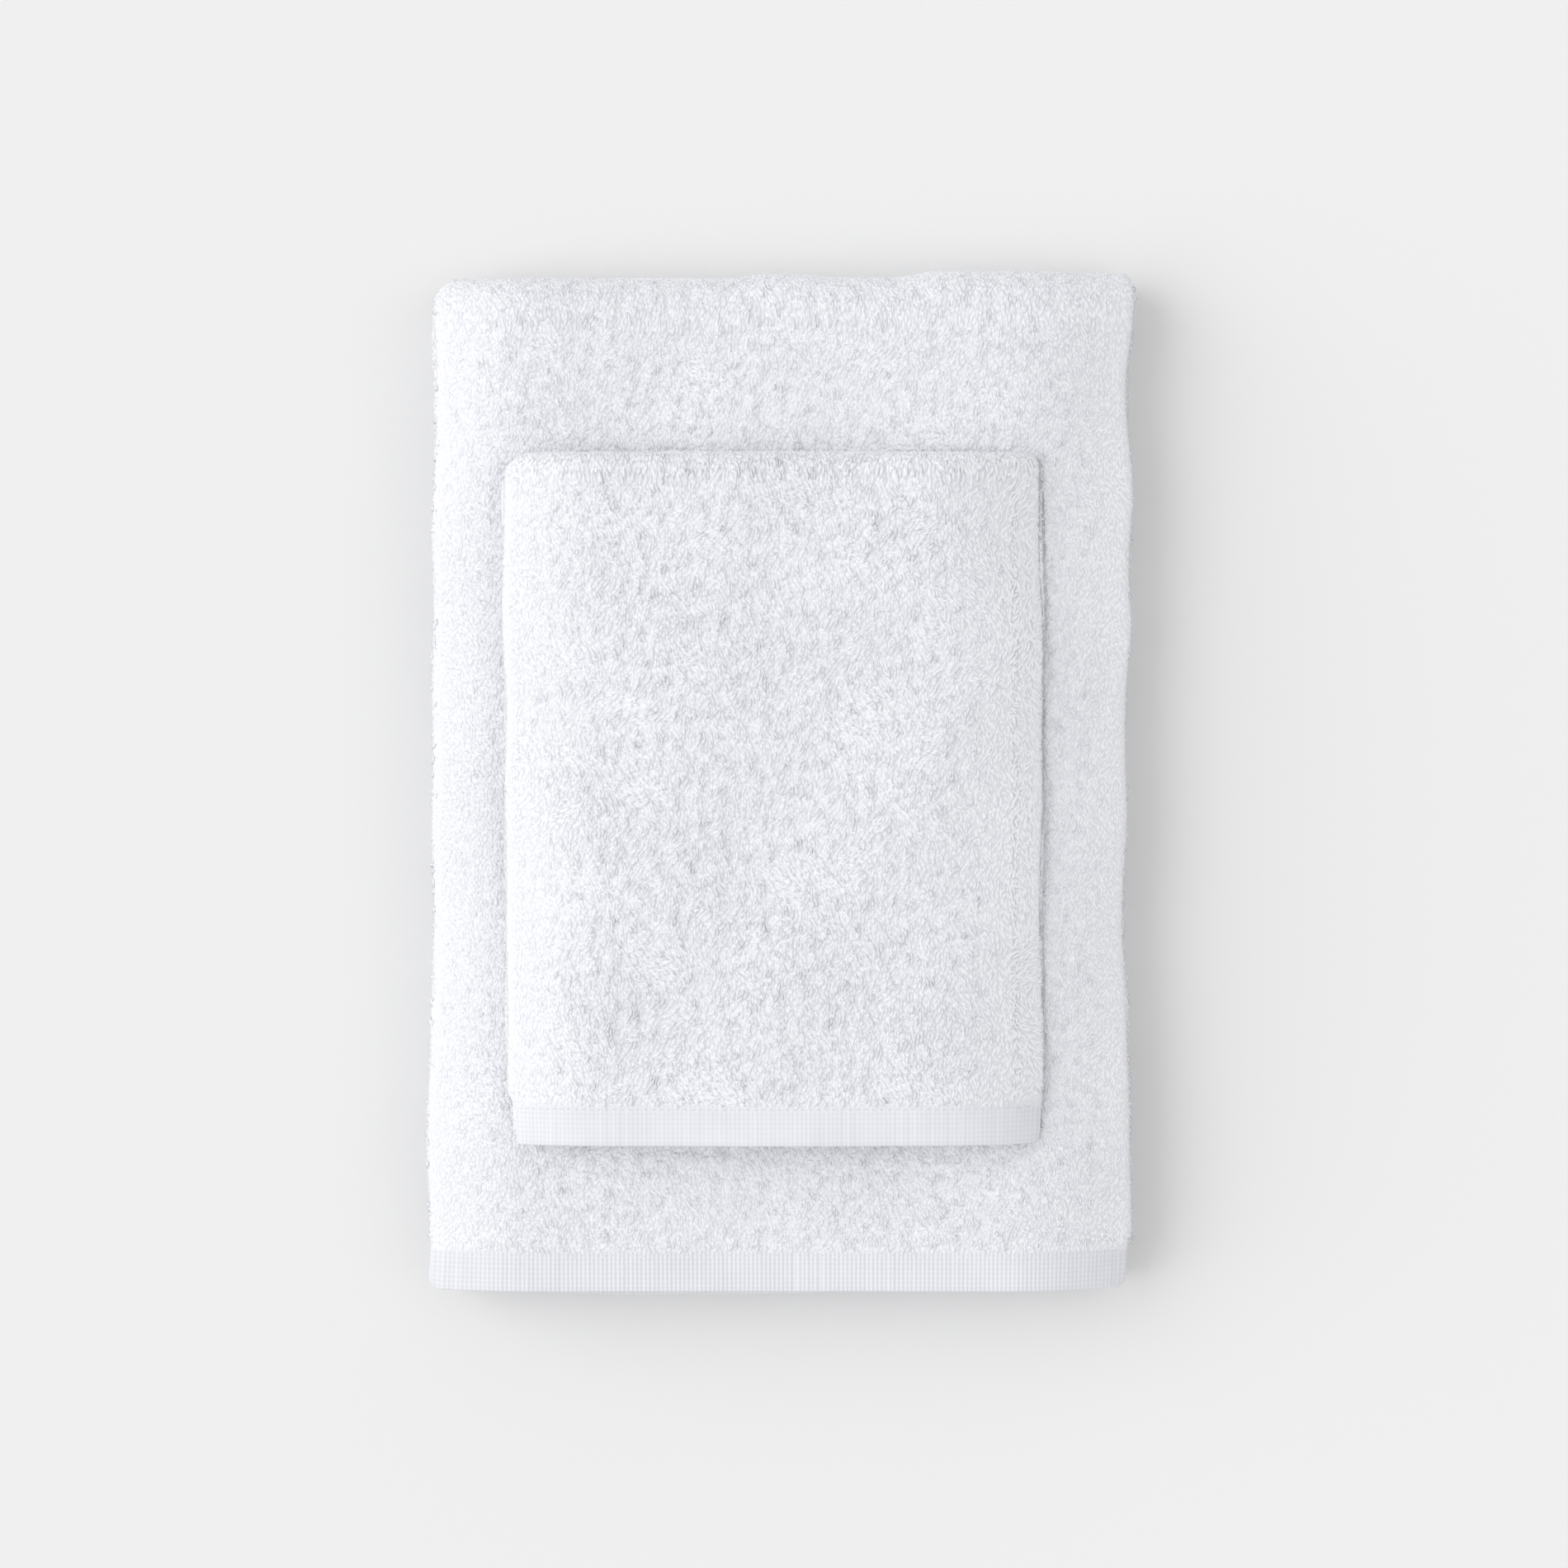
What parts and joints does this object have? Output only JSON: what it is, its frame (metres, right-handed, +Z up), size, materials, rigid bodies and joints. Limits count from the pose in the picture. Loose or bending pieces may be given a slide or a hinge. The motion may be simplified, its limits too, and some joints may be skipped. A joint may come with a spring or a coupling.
{
  "type": "folded towel set",
  "caption": "Plain white terry bath towel folded flat, with a folded hand towel lying on it; each top layer opens at its rear fold and the hand towel lifts off.",
  "frame": {"origin": "middle of the underside of the folded bath towel", "axes": "+X to the right along the hems, +Y from the hems to the rear folds, +Z up"},
  "size_m": [0.254, 0.368, 0.0639],
  "materials": {
    "terry": "matte",
    "hem_weave": "matte",
    "stitch_thread": "matte"
  },
  "bodies": {
    "bath_towel": {"bath_second_panel": "terry", "bath_second_inner_side_hem": "hem_weave", "bath_second_outer_side_hem": "hem_weave", "bath_third_panel": "terry", "bath_third_inner_side_hem": "hem_weave", "bath_third_outer_side_hem": "hem_weave", "bath_bottom_panel": "terry", "bath_bottom_inner_side_hem": "hem_weave", "bath_bottom_outer_side_hem": "hem_weave", "bath_second_hem": "hem_weave", "bath_second_hem_stitching": "stitch_thread", "bath_outer_rear_fold": "terry", "bath_inner_rear_fold": "terry", "bath_front_fold": "terry"},
    "bath_top_layer": {"bath_top_panel": "terry", "bath_top_inner_side_hem": "hem_weave", "bath_top_outer_side_hem": "hem_weave", "bath_top_hem": "hem_weave", "bath_top_hem_stitching": "stitch_thread"},
    "hand_towel": {"hand_middle_panel": "terry", "hand_middle_left_side_hem": "hem_weave", "hand_middle_right_side_hem": "hem_weave", "hand_bottom_panel": "terry", "hand_bottom_left_side_hem": "hem_weave", "hand_bottom_right_side_hem": "hem_weave", "hand_tucked_hem": "hem_weave", "hand_tucked_hem_stitching": "stitch_thread", "hand_rear_fold": "terry", "hand_front_fold": "terry"},
    "hand_top_layer": {"hand_top_panel": "terry", "hand_top_left_side_hem": "hem_weave", "hand_top_right_side_hem": "hem_weave", "hand_top_hem": "hem_weave", "hand_top_hem_stitching": "stitch_thread"}
  },
  "joints": [
    {"name": "bath_top_layer_opens", "type": "hinge", "parent": "bath_towel", "child": "bath_top_layer", "pos_m": [0, 0.16315, 0.0417], "axis": [-1, 0, 0], "range_deg": [0, 30]},
    {"name": "hand_towel_lifts_off", "type": "slide", "parent": "bath_top_layer", "child": "hand_towel", "axis": [0, 0, 1], "range_m": [0, 0.08]},
    {"name": "hand_top_layer_opens", "type": "hinge", "parent": "hand_towel", "child": "hand_top_layer", "pos_m": [0, 0.10805, 0.0639], "axis": [-1, 0, 0], "range_deg": [0, 60]}
  ]
}
